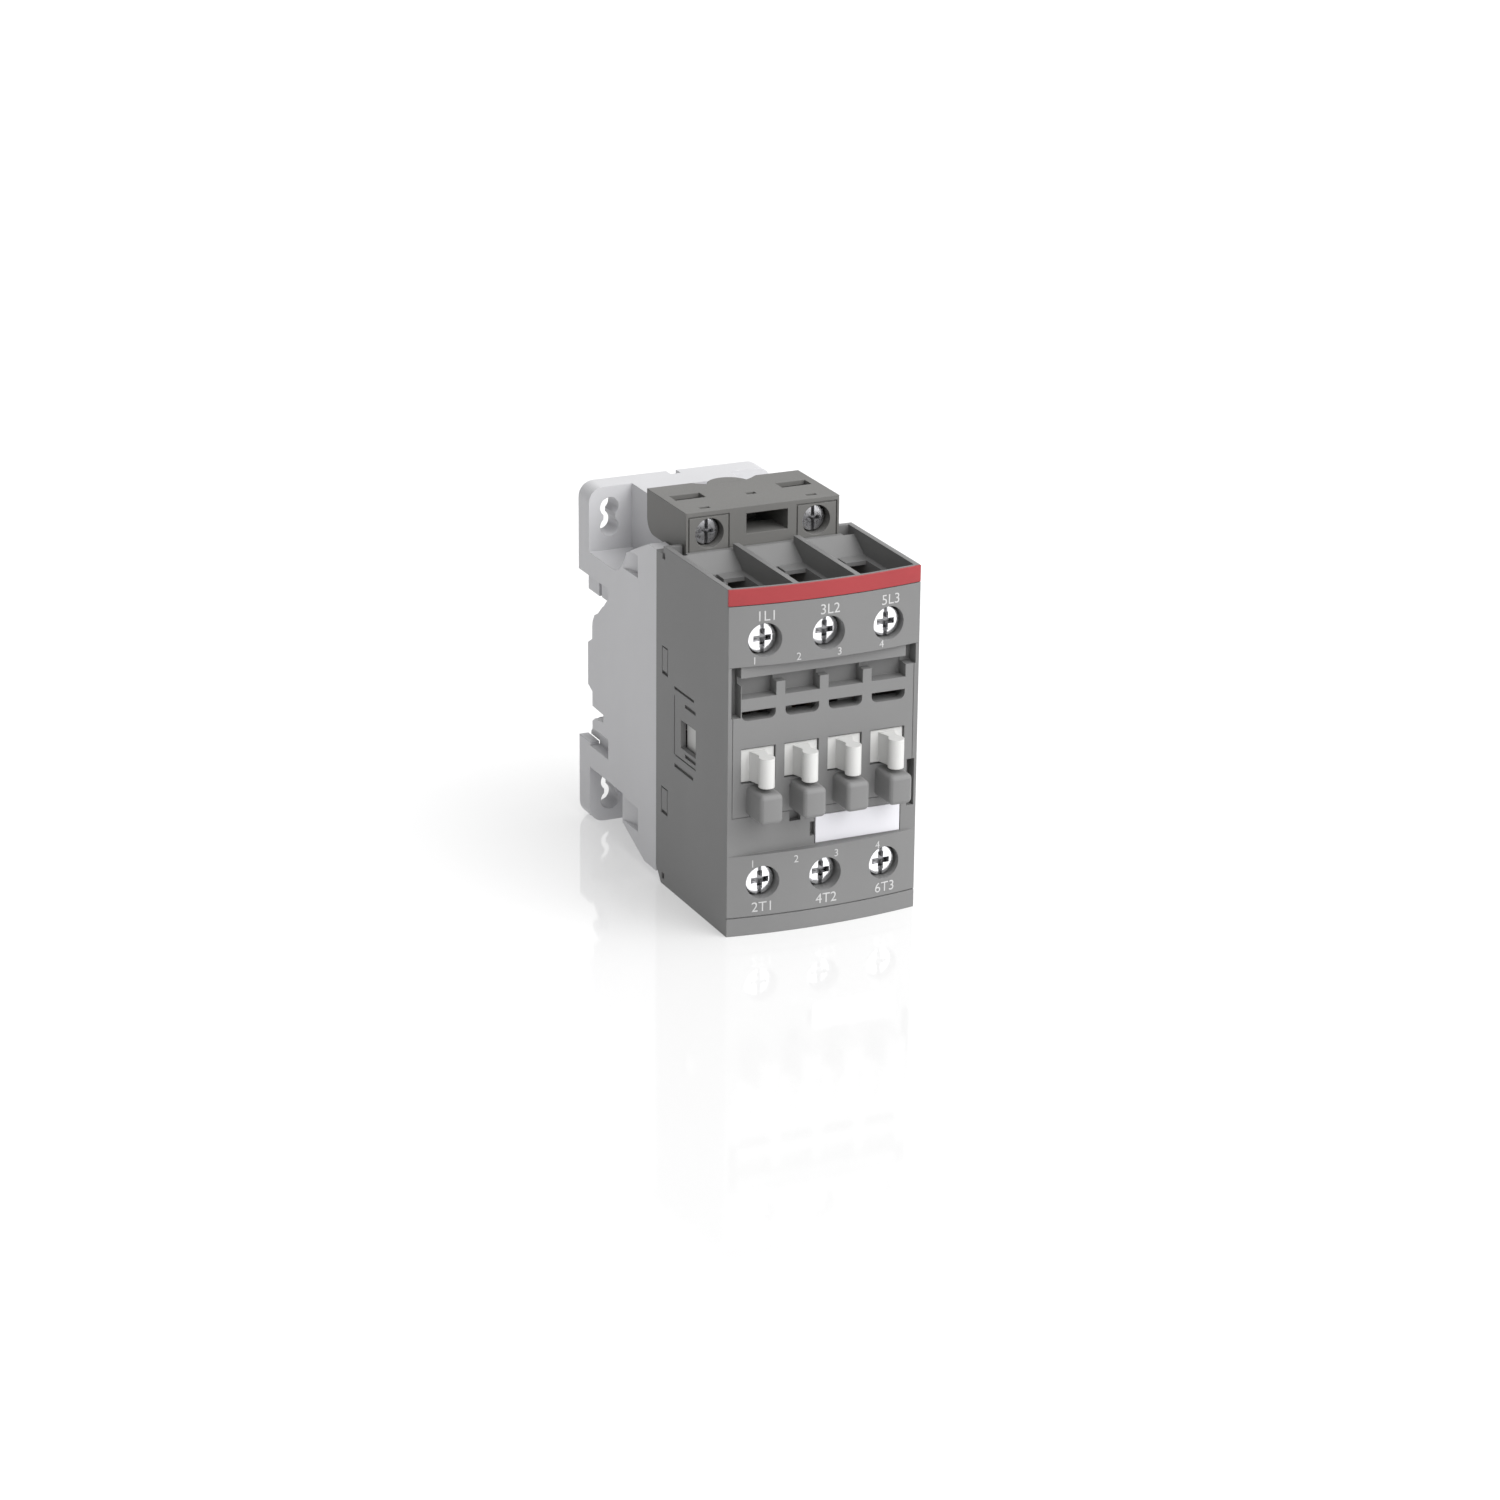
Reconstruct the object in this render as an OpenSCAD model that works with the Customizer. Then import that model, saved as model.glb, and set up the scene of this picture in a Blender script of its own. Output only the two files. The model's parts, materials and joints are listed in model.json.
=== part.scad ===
// DIN rail contactor, three poles, with a top coil terminal block.
// Frame: +X to the right, -Y to the front, +Z up. The origin is the centre of the four
// mounting slots, in the plane of the lugs' backs. "Height off the panel" below is -y.

/* [Casing] */
// Width across the casing
body_w = 45; // [44:0.5:46]
// Height of the front housing
front_h = 78.3; // [78:0.1:79]
// Height of the centre line above the front housing's bottom
axis_h = 40; // [39.8:0.1:40.2]
// Height off the panel of the joint between the base and the front housing
split_b = 43.8; // [43.8:0.1:44]
// Height off the panel of the front housing's vertical edges
front_b = 81.5; // [81.5:0.1:82]
// Rise of the bowed front over its vertical edges
bow = 1.95; // [1.6:0.05:2.2]
// Height of the red band
band_h = 3.8; // [3:0.1:4]

/* [Mounting] */
// Distance between the mounting slots, across
slot_x = 35; // [34:0.5:35]
// Distance between the outer lobes' centres, up and down
lobe_z_outer = 70; // [69:0.5:71]
// Distance between the inner lobes' centres, up and down
lobe_z_inner = 61; // [60:0.5:62]
// Radius of each lobe
lobe_r = 2.25; // [2.1:0.05:2.4]
// Thickness of the lugs
lug_t = 6; // [5:0.5:6]
// Width of the rail over its flanges
rail_w = 35; // [34.8:0.1:35.2]
// Height off the panel of the face that rests on the rail's flanges
rail_seat = 7.7; // [7.6:0.05:7.8]

/* [Poles] */
// Distance between two poles
pole_pitch = 14.5; // [14.4:0.1:14.6]
// Height of the line terminals over the centre line
line_z = 26.65; // [26.4:0.05:26.8]
// Depth of the load terminals under the centre line
load_z = 28.1; // [28:0.05:28.4]
// Height of the contact carrier's centre line over the centre line
carrier_z = -1.5; // [-1.6:0.05:-1.4]
// Travel of the contact carrier
stroke = 5; // [4.8:0.1:5]
// Distance that each moving bridge gives way once its contacts touch
overtravel = 1.2; // [1:0.05:1.2]

/* [Front face] */
// Distance between two front windows
window_pitch = 10.2; // [10:0.05:10.4]
// Width of a front window
window_w = 8.1; // [7.9:0.1:8.2]
// Height of a peg window
peg_win_h = 7.9; // [7.8:0.1:8]
// Height of the front of the coupling pegs over the front face
peg_out = 6; // [5.8:0.1:6.2]
// Height of the front of the dark caps over the front face
cap_out = 7.4; // [7:0.1:7.6]

/* [Coil terminals] */
// Width of the coil terminal block
block_w = 36.6; // [36.4:0.1:36.8]
// Height of the block's top over the centre line
block_top = 45.7; // [45.6:0.1:46]
// Distance of the coil screws from the middle
coil_x = 12.75; // [12.7:0.05:12.8]

/* [Hidden] */
$fn = 48;
e = 0.1;
hw = body_w / 2;
top_z = front_h - axis_h;
bot_z = -axis_h;
skin = 1.2;
rail_top = rail_w / 2 + 0.5;
rail_bot = -rail_w / 2 - 0.7;
neck_share = 0.64;
bow_r = (hw * hw + bow * bow) / (2 * bow);

// Front face, between the two bowed parts
face_top = 18.2;
face_bot = -21.7;
bow_edge = 21;
cover_bot = -13;
cover_x = 21.3;
cover_back = front_b - 2;
rim_b = 47.6;
rim_step = 1.8;
peg_z0 = carrier_z - peg_win_h / 2;
peg_z1 = carrier_z + peg_win_h / 2;
peg_r = 1.75;
peg_foot = 1.9;
peg_neck = 1.1;
cap_hx = 2.75;
cap_hz = 3.4;
cap_z = -9.4;
cap_r = 1.2;
slot_z0 = 8.65;
slot_z1 = 10.85;
slot_r = 1.4;
pocket_z = 13.6;
columns = [for (i = [-1.5 : 1 : 1.5]) i * window_pitch];
poles = [-pole_pitch, 0, pole_pitch];

// Terminals: heights off the panel
strip_b = 71;
strip_t = 1.5;
head_b = 79;
head_t = 2;
head_r = 3.4;
shank_r = 2.5;
clamp_back = 63.5;
clamp_front = 75.3;
line_floor = 33.6;
load_floor = -35.9;
chamber_b = 51.5;

// Contacts
pad_reach = 13;
pad_r = 1.8;
pad_b = 54.75;
carrier_back = 57;
carrier_front = 73.5;
carrier_hx = 19.5;
carrier_hz = 6.5;
tunnel_back = 59.5;
tunnel_front = 69.5;
bridge_b = tunnel_back + 0.3;
bridge_t = 1.5;
button_b = pad_b + stroke - overtravel + 0.05;

// Magnet
armature_b = 33.5;
armature_top = 41.2;
core_gap = stroke + 0.1;
core_back = 15.7;
core_front = armature_b - core_gap;
yoke_b = core_back + 5;
magnet_hz = 18;
magnet_hx = 7;
leg_hz = 6;
flange_t = 1.2;
plate_b = 41.6;
plate_t = 2;
spring_x = 16;

// Coil terminal block: heights off the panel
block_back = 29;
block_front = 50;
block_sill = 37;
horn_r = 5;
horn_top = 44.2;
block_bot = 35.9;
coil_head_b = 46.4;
coil_head_r = 3;
coil_shank_r = 1.75;
coil_strip_b = 40.2;
coil_z = 40.7;
notch_r = 11.1;
notch_d = 3.2;
board_z = 19.5;

function arc_points(r, a0, a1, cx, cy, n = 8) =
    [for (i = [0 : n]) let (a = a0 + (a1 - a0) * i / n) [cx + r * cos(a), cy + r * sin(a)]];

// A box from ranges across, off the panel and up
module box(x, b, z) {
    translate([x[0], -b[1], z[0]]) cube([x[1] - x[0], b[1] - b[0], z[1] - z[0]]);
}
// A rod square to the panel
module rod(x, z, b, r) {
    translate([x, -b[0], z]) rotate([90, 0, 0]) cylinder(r = r, h = b[1] - b[0]);
}
// An outline of [off the panel, up] points, drawn out across
module side_prism(x, pts) {
    translate([x[0], 0, 0]) rotate([90, 0, 90]) linear_extrude(x[1] - x[0])
        polygon([for (p = pts) [-p[0], p[1]]]);
}
// A 2D outline of [across, up] drawn out square to the panel
module front_prism(b) {
    translate([0, -b[0], 0]) rotate([90, 0, 0]) linear_extrude(b[1] - b[0]) children();
}
module round_rect(x, z, r) {
    hull() for (px = [x[0] + r, x[1] - r], pz = [z[0] + r, z[1] - r]) translate([px, pz]) circle(r, $fn = 32);
}
// The space behind the bowed front, grown outwards by g
module bow_space(z, g = 0) {
    translate([0, bow_r - front_b - bow, z[0]]) cylinder(r = bow_r + g, h = z[1] - z[0], $fn = 240);
}
module both_sides() {
    children();
    mirror([1, 0, 0]) children();
}

// ---- Casing ----

module dumbbell(z_in, z_out) {
    for (z = [z_in, z_out]) translate([slot_x / 2, z]) circle(lobe_r);
    translate([slot_x / 2 - lobe_r * neck_share, min(z_in, z_out)])
        square([2 * lobe_r * neck_share, abs(z_out - z_in)]);
}
module mounting_slots() {
    for (s = [-1, 1]) both_sides() front_prism([-e, lug_t + e])
        dumbbell(s * lobe_z_inner / 2, s * lobe_z_outer / 2);
}
// The rail's way, its hook slot and the grooves beside the seat
module rail_way() {
    side_prism([-hw - e, hw + e], [[-e, 14.4], [rail_seat - 1.5, 14.4], [rail_seat - 1.5, rail_top],
        [rail_seat, rail_top], [rail_seat, 14.6], [14, 14.6], [11, 12], [9, 11], [8, 9.4], [rail_seat, 8],
        [rail_seat, 5], [5.2, 3.5], [5.2, -6.5], [rail_seat, -7.6], [rail_seat, -11], [14, -11.2], [14, -13],
        [9.2, -13.6], [rail_seat, -14.6], [rail_seat, rail_bot], [6.3, rail_bot], [6.3, -20.3], [-e, -20.3]]);
}
module lug_pockets() {
    both_sides() {
        side_prism([12, hw + e], concat([[lug_t, top_z + 3], [lug_t, 25], [19.5, 25]],
            arc_points(7, -90, -10, 19.5, 32), [[39.5, 36.5], [split_b + e, 36.5], [split_b + e, top_z + 3]]));
        side_prism([12, hw + e], [[lug_t, bot_z - 1], [lug_t, -26.3], [25, -26.3], [25, -33.2], [37.4, -38.2], [50, bot_z - 1]]);
    }
}
module latch_way() {
    box([-20.3, 20.3], [-e, 6.3], [-23.4, -18]);
    box([-4.3, 4.3], [-e, 3], [-37.8, -18]);
    box([-7.8, 7.8], [2.7, 5.3], [-37.8, -18]);
}
module base_outer() {
    front_prism([0, lug_t]) round_rect([-hw, hw], [bot_z, top_z + 1.6], 3.5);
    box([-hw, hw], [lug_t - e, split_b], [-38.2, 36.5]);
    box([-12, 12], [lug_t - e, block_back], [bot_z, top_z + 1.6]);
}
module base_cavity() {
    box([-19.7, 19.7], [core_back, split_b + e], [-24, 22.5]);
    box([-19.7, 19.7], [27.5, split_b + e], [-30, 22.5]);
    box([-19.7, 19.7], [32, split_b + e], [-30, 31]);
    both_sides() box([coil_x - 3, coil_x + 3], [coil_strip_b - 0.4, coil_strip_b + 1.6], [30, block_bot + e]);
    box([-block_w / 2 - 0.3, block_w / 2 + 0.3], [block_back - 0.3, split_b + e], [block_bot, 50]);
}
module side_recesses() {
    both_sides() {
        side_prism([20.1, hw + e], [[-e, 19.5], [16.8, 19.5], [16.8, 17], [14, 14.4], [-e, 14.4]]);
        side_prism([20.1, hw + e], [[6.3, -16.4], [16.8, -16.2], [16.8, -21], [6.3, -21]]);
        for (z = [[27, 32], [-32.5, -27]]) translate([0, 0, z[0]]) linear_extrude(z[1] - z[0])
            polygon([[hw + e, -25], [hw + e, -33.6], [hw - 2, -33.6], [hw - 1.6, -31]]);
    }
}
module base_housing() color([0.78, 0.78, 0.79]) difference() {
    base_outer();
    lug_pockets();
    rail_way();
    latch_way();
    base_cavity();
    side_recesses();
    mounting_slots();
    box([-1, 1.4], [-e, 2.6], [top_z + 0.4, top_z + 2]);
    box([-7.6, 7.6], [11, block_back + 1], [34, 50]);
}

module front_outer() {
    box([-hw, hw], [split_b, front_b], [-32, top_z]);
    side_prism([-hw, hw], [[split_b, -36.5], [46.5, bot_z], [front_b, bot_z], [front_b, -30], [split_b, -30]]);
    difference() {
        intersection() {
            box([-hw, hw], [front_b - 4, front_b + 3], [bot_z, top_z]);
            bow_space([bot_z, top_z]);
        }
        box([-hw - 1, hw + 1], [front_b, front_b + 4], [face_bot, bow_edge]);
        side_prism([-hw - 1, hw + 1], [[front_b - 1.2, face_top], [front_b + 4, face_top],
            [front_b + 4, bow_edge], [front_b, bow_edge]]);
    }
}
// Open wire chambers: three above, three below
module wire_chambers(s, z_rim, z_floor) {
    difference() {
        intersection() {
            side_prism([-hw + skin, hw - skin], [[chamber_b, z_rim + s], [chamber_b, z_rim - s * 1.3],
                [chamber_b + 5.2, z_floor], [front_b + 3, z_floor], [front_b + 3, z_rim + s]]);
            bow_space([min(z_rim, z_floor) - 2, max(z_rim, z_floor) + 2], -skin);
        }
        for (x = [-pole_pitch / 2, pole_pitch / 2]) box([x - 0.65, x + 0.65], [split_b, front_b + 3],
            [min(z_rim, z_floor) - 2, max(z_rim, z_floor) + 2]);
    }
}
// One terminal's pocket, its wire hole and its screw hole
module terminal_pocket(x, s, z_term, z_floor) {
    z_in = carrier_z + s * (carrier_hz + 0.5);
    z_out = z_floor - s;
    box([x - 5.4, x + 5.4], [51.5, strip_b + 6.2], [min(z_in, z_out), max(z_in, z_out)]);
    box([x - 5.4, x + 5.4], [60, head_b + 0.3], [z_term - 4.3, z_term + 4.3]);
    box([x - 5.4, x + 0.4], [chamber_b + 5.4, 76], [min(z_out, z_floor) - e, max(z_out, z_floor) + e]);
    box([x - 5.4, x + 5.4], [60.5, 76], [min(z_out, z_floor) - e, max(z_out, z_floor) + e]);
    rod(x, z_term, [head_b, front_b + 4], head_r + 0.35);
}
module side_marks() {
    grooves = [[53.5, 53.9, 6.3, -7.3], [53.5, 64, 7.7, 8.3], [59.2, 64.8, 5.1, 5.9], [59.4, 65, -6.3, -5.5],
        [53.7, 63.8, -10.2, -9.4], [54.2, 65, -7.5, -7.2], [46.9, 47.2, 9.9, 15.5], [49.8, 50.1, 9.9, 15.5],
        [46.9, 50.1, 15.3, 15.6], [46.9, 50.1, 9.2, 10], [46.6, 46.9, -22.6, -17.1], [49.8, 50.1, -22.6, -17.1],
        [46.6, 50.1, -17.3, -17], [46.6, 50.1, -23.2, -22.4], [47, 48.5, 35.4, 36.8], [47, 48.4, -38.7, -37.3]];
    both_sides() for (g = grooves) box([hw - 0.5, hw + e], [g[0], g[1]], [min(g[2], g[3]), max(g[2], g[3])]);
}
module main_housing() color([0.42, 0.42, 0.42]) difference() {
    front_outer();
    wire_chambers(1, top_z, line_floor);
    wire_chambers(-1, bot_z, load_floor);
    for (x = poles) {
        terminal_pocket(x, 1, line_z, line_floor);
        terminal_pocket(x, -1, -load_z, load_floor);
    }
    // Room for the carrier, its tabs and the springs behind it
    box([-20, 20], [split_b - e, front_b - 2.8], [carrier_z - carrier_hz - 0.5, carrier_z + carrier_hz + 0.5]);
    box([-21.3, 21.3], [51.3, 65.6], [carrier_z - 3.8, carrier_z + 3.8]);
    box([-19.7, 19.7], [split_b - e, 46.2], [-30, 31]);
    both_sides() box([20, hw + e], [57.2, 65], [carrier_z - 3.2, carrier_z + 3.2]);
    // Seat of the front cover, and the red band's seat
    box([-cover_x - 0.1, cover_x + 0.1], [cover_back, front_b + 1], [cover_bot - 0.1, face_top + 0.1]);
    for (x = columns) {
        box([x - window_w / 2, x + window_w / 2], [front_b - 3.2, front_b], [peg_z0, peg_z1]);
        box([x - window_w / 2, x + window_w / 2], [front_b - 3.3, front_b], [pocket_z, face_top]);
        box([x - window_w / 2, x + window_w / 2], [front_b - 4.6, front_b], [slot_z0, slot_z1]);
    }
    difference() {
        box([-hw - e, hw + e], [front_b - 4, front_b + 3], [top_z - band_h, top_z + e]);
        bow_space([top_z - 5, top_z + 1], -0.55);
    }
    // Seam, label seat, coupling slots and side marks
    difference() {
        box([-hw - e, hw + e], [front_b - 3, front_b + 3], [-35.95, -35.7]);
        bow_space([-37, -35], -0.35);
    }
    box([-1.8, 18.8], [front_b - 0.4, front_b + 1], [-21.5, -15]);
    box([-7.8, -5.2], [front_b - 1.5, front_b + 1], [-15.5, -13]);
    box([-2.9, -1.7], [front_b - 1.5, front_b + 1], [-19.6, -16.4]);
    box([-21.7, -19.5], [front_b - 3, front_b + 1], [9.5, 20.9]);
    box([19.3, 21.7], [front_b - 3, front_b + 1], [16.4, 20.9]);
    box([20.2, 21.9], [front_b - 3, front_b + 1], [-16.1, -5.4]);
    box([-block_w / 2 - 0.3, block_w / 2 + 0.3], [split_b - e, block_front + 0.3], [block_bot, 50]);
    box([-block_w / 2 - 0.3, block_w / 2 + 0.3], [split_b - e, chamber_b + e], [block_sill, 50]);
    box([-hw - e, hw + e], [split_b - e, rim_b], [top_z - rim_step, 50]);
    both_sides() box([block_w / 2 + 0.3, hw - skin], [rim_b + skin, chamber_b + e], [top_z - 4, top_z + 1]);
    side_marks();
}

module cap(x) {
    hull() for (dx = [-1, 1], dz = [-1, 1]) translate([x + dx * (cap_hx - cap_r), -front_b, cap_z + dz * (cap_hz - cap_r)]) {
        translate([0, cap_r - cap_out, 0]) sphere(cap_r, $fn = 16);
        translate([0, 0.2, 0]) rotate([90, 0, 0]) cylinder(r = cap_r, h = 1, $fn = 16);
    }
}
module window_slot(x) {
    half = window_w / 2 - 0.1;
    front_prism([cover_back - e, front_b + 1]) translate([x, slot_z0 + slot_r]) {
        intersection() {
            for (s = [-1, 1]) translate([s * (half - slot_r), 0]) circle(slot_r);
            translate([-half, -slot_r]) square([2 * half, slot_r + e]);
        }
        translate([slot_r - half, -slot_r]) square([2 * (half - slot_r), slot_r + e]);
        translate([-half, 0]) square([2 * half, slot_z1 - slot_z0 - slot_r]);
    }
}
module front_cover() color([0.45, 0.45, 0.45]) difference() {
    union() {
        box([-cover_x, cover_x], [cover_back, front_b], [cover_bot, face_top]);
        for (x = columns) cap(x);
    }
    for (x = columns) {
        box([x - window_w / 2, x + window_w / 2], [cover_back - e, front_b + 1], [peg_z0, peg_z1]);
        box([x - window_w / 2, x + window_w / 2], [cover_back - e, front_b + 1], [pocket_z, face_top + e]);
    }
    for (x = columns) window_slot(x);
    box([-19.9, 19.4], [cover_back - e, front_b + 1], [16.6, face_top + e]);
    box([-cover_x - e, -19.5], [cover_back - e, front_b + 1], [9.5, face_top + e]);
    box([19.3, cover_x + e], [cover_back - e, front_b + 1], [16.4, face_top + e]);
    box([20.1, cover_x + e], [cover_back - e, front_b + 1], [cover_bot - e, -5.4]);
}

module red_band() color([0.75, 0.27, 0.29]) difference() {
    intersection() {
        box([-hw, hw], [front_b - 3, front_b + 3], [top_z - band_h + 0.15, top_z]);
        bow_space([top_z - 5, top_z + 1]);
    }
    bow_space([top_z - 6, top_z + 2], -0.5);
}
module label_plate() color([0.93, 0.93, 0.95]) box([-1.6, 18.6], [front_b - 0.4, front_b + 0.1], [-21.4, -15.1]);

module block_half_cuts() {
    both_sides() {
        box([coil_x - 3.8, coil_x + 3.8], [34, coil_head_b + 0.3], [block_bot + 1.1, block_top - 1.1]);
        rod(coil_x, coil_z, [coil_head_b, block_front + 1], coil_head_r + 0.35);
        box([coil_x - 3.6, coil_x + 3.6], [36.4, coil_strip_b - 0.2], [block_top - 2, block_top + e]);
        box([coil_x - 1.2, coil_x + 1.2], [46.6, 47.8], [block_top - 2, block_top + e]);
        box([coil_x - 2.9, coil_x + 2.9], [coil_strip_b - 0.1, coil_strip_b + 1.1], [block_bot - e, block_bot + 2]);
        difference() {
            box([8, block_w / 2 - 0.5], [block_front - 0.3, block_front + e], [block_bot + 0.6, block_top - 1]);
            box([8.3, block_w / 2 - 0.8], [block_front - 1, block_front + 1], [block_bot + 0.9, block_top - 1.3]);
        }
    }
}
module coil_terminal_block() color([0.5, 0.5, 0.5]) {
    translate([2, -28, 41]) cylinder(r = horn_r, h = horn_top - 41);
    block_body();
}
module block_body() difference() {
    side_prism([-block_w / 2, block_w / 2], concat([[block_back, block_top], [block_front, block_top],
        [block_front, block_bot]], arc_points(3.5, -90, -180, block_back + 3.5, block_bot + 3.5)));
    block_half_cuts();
    box([-4, 5.9], [42, block_front + e], [39.5, 44.1]);
    box([-4.2, 6], [33.5, 42.1], [37.5, 44.3]);
    box([0, 2.2], [40.3, 41.8], [block_top - 2, block_top + e]);
    translate([0, notch_r - notch_d - block_back, block_bot - 1]) cylinder(r = notch_r, h = 12);
}

// ---- Moving contact carrier and the magnet ----

module peg(x) {
    box([x - 3.85, x + 3.85], [carrier_front - e, front_b - 0.5], [peg_z0 + 0.3, peg_z1 - 0.3]);
    translate([x, -front_b - peg_out + peg_r, peg_z0 + 0.4]) {
        cylinder(r = peg_r, h = peg_win_h - 1.3);
        linear_extrude(peg_win_h - 1.3) polygon([[-peg_neck, 0], [peg_neck, 0], [peg_neck, peg_out - 3.8],
            [peg_foot, peg_out - 1.1], [-peg_foot, peg_out - 1.1], [-peg_neck, peg_out - 3.8]]);
    }
}
module contact_carrier() color([0.94, 0.94, 0.93]) difference() {
    union() {
        box([-carrier_hx, carrier_hx], [carrier_back, carrier_front], [carrier_z - carrier_hz, carrier_z + carrier_hz]);
        box([-21, 21], [57.2, 65], [carrier_z - 3.4, carrier_z + 3.4]);
        box([-5, 5], [armature_top, carrier_back + e], [carrier_z - 4.5, carrier_z + 4.5]);
        box([-1.5, 1.5], [38, armature_top + e], [carrier_z - 4.5, carrier_z + 4.5]);
        for (x = columns) peg(x);
    }
    for (x = poles) box([x - 3.9, x + 3.9], [tunnel_back, tunnel_front],
        [carrier_z - carrier_hz - 1, carrier_z + carrier_hz + 1]);
    translate([-3, -39.7, carrier_z]) rotate([0, 90, 0]) cylinder(r = 1.02, h = 6);
}
module armature() color([0.62, 0.62, 0.64]) difference() {
    box([-magnet_hx, magnet_hx], [armature_b, armature_top], [carrier_z - magnet_hz, carrier_z + magnet_hz]);
    for (s = [-1, 1]) box([-magnet_hx - 1, magnet_hx + 1], [armature_b - e, armature_b + 2.5],
        [carrier_z + min(s * leg_hz, s * 12.5), carrier_z + max(s * leg_hz, s * 12.5)]);
    box([-1.6, 1.6], [37.9, armature_top + e], [carrier_z - 4.6, carrier_z + 4.6]);
    translate([-magnet_hx - 1, -39.7, carrier_z]) rotate([0, 90, 0]) cylinder(r = 1.02, h = 2 * magnet_hx + 2);
}
module armature_pin() color("silver")
    translate([-magnet_hx + 0.2, -39.7, carrier_z]) rotate([0, 90, 0]) cylinder(r = 1, h = 2 * magnet_hx - 0.4);
module fixed_core() color([0.6, 0.6, 0.62]) difference() {
    box([-magnet_hx, magnet_hx], [core_back + 1, core_front], [carrier_z - magnet_hz, carrier_z + magnet_hz]);
    for (s = [-1, 1]) box([-magnet_hx - 1, magnet_hx + 1], [yoke_b, core_front + e],
        [carrier_z + min(s * leg_hz, s * 12.5), carrier_z + max(s * leg_hz, s * 12.5)]);
}
module core_cushion() color([0.15, 0.15, 0.15])
    box([-6, 6], [core_back, core_back + 1], [carrier_z - 16, carrier_z + 16]);
module coil_bobbin() color([0.2, 0.2, 0.2]) difference() {
    union() {
        box([-8.4, 8.4], [yoke_b, core_front - 0.2], [carrier_z - 7.4, carrier_z + 7.4]);
        for (b = [yoke_b, core_front - 0.2 - flange_t]) box([-13.5, 13.5], [b, b + flange_t],
            [carrier_z - 12.3, carrier_z + 12.3]);
    }
    box([-magnet_hx - 0.1, magnet_hx + 0.1], [yoke_b - e, core_front + e], [carrier_z - 6.1, carrier_z + 6.1]);
}
module coil_winding() color([0.72, 0.4, 0.2]) difference() {
    box([-12.8, 12.8], [yoke_b + flange_t, core_front - 0.2 - flange_t], [carrier_z - 11.6, carrier_z + 11.6]);
    box([-8.4, 8.4], [yoke_b, core_front], [carrier_z - 7.4, carrier_z + 7.4]);
}
module separator_plate() color([0.3, 0.3, 0.3]) difference() {
    box([-19.7, 19.7], [plate_b, plate_b + plate_t], [-30, 31]);
    box([-5.5, 5.5], [plate_b - e, plate_b + 3], [carrier_z - 5, carrier_z + 5]);
}
module circuit_board() color([0.1, 0.4, 0.2]) box([-19.7, 19.7], [17, 41.4], [board_z, board_z + 1.6]);

// A helical spring, built along +Z from 0 to its length
module helix_spring(r, wire, turns, length) {
    sides = 6;
    steps = 14;
    n = steps * turns;
    rise = (length - 2 * wire) / n;
    pts = [for (i = [0 : n], k = [0 : sides - 1]) let (a = 360 * i / steps, c = 360 * k / sides)
        [(r + wire * cos(c)) * cos(a), (r + wire * cos(c)) * sin(a), wire + rise * i + wire * sin(c)]];
    skin_faces = [for (i = [0 : n - 1], k = [0 : sides - 1], h = [0, 1])
        let (m = (k + 1) % sides, p = i * sides, q = p + sides)
        h == 0 ? [p + k, q + m, p + m] : [p + k, q + k, q + m]];
    end_faces = [for (k = [1 : sides - 2], h = [0, 1])
        h == 0 ? [0, k, k + 1] : [n * sides, n * sides + k + 1, n * sides + k]];
    polyhedron(pts, concat(skin_faces, end_faces));
}
module return_spring(x) color("silver")
    translate([x, -plate_b - plate_t - 0.1, carrier_z]) rotate([90, 0, 0])
        helix_spring(2.6, 0.35, 6, carrier_back - plate_b - plate_t - 0.2);
module return_spring_left() return_spring(-spring_x);
module return_spring_right() return_spring(spring_x);

module rail_latch() color([0.7, 0.7, 0.71]) {
    side_prism([-20, 20], [[6.1, -14.6], [5.2, -15], [0.8, -19.6], [0.8, -20.4], [6.1, -20.4]]);
    box([-4, 4], [0.8, 3.2], [-31.5, -20.3]);
    box([-7.5, 7.5], [3, 5], [-31.5, -20.3]);
}
module rail_latch_spring() color("silver")
    translate([0, -3.1, -37.7]) helix_spring(1.5, 0.3, 4, 6.1);

// ---- Poles ----

module bridge(x) color([0.8, 0.62, 0.4]) {
    box([x - 3, x + 3], [bridge_b, bridge_b + bridge_t], [carrier_z - pad_reach - 2.6, carrier_z + pad_reach + 2.6]);
    for (s = [-1, 1]) rod(x, carrier_z + s * pad_reach, [button_b, bridge_b + e], pad_r);
}
module contact_spring(x) color("silver")
    translate([x, -bridge_b - bridge_t - 0.1, carrier_z]) rotate([90, 0, 0])
        helix_spring(2.2, 0.35, 5, tunnel_front - bridge_b - bridge_t - 0.2);
// One fixed contact: a pad, a riser beside the bridge and a tongue in the clamp
module fixed_contact(x, s, z_term) color([0.8, 0.62, 0.4]) {
    z_pad = carrier_z + s * pad_reach;
    z_leg = z_term - s * 9.2;
    z_tip = z_term + s * 3.4;
    box([x - 5.4, x + 5.4], [52, 53.5], [min(z_pad - s * 3, z_leg), max(z_pad - s * 3, z_leg)]);
    rod(x, z_pad, [53.4, pad_b], pad_r);
    box([x - 3, x + 3], [52, strip_b + strip_t], [min(z_leg, z_leg - s * 1.5), max(z_leg, z_leg - s * 1.5)]);
    box([x - 3, x + 3], [strip_b, strip_b + strip_t], [min(z_leg, z_tip), max(z_leg, z_tip)]);
}
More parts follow.
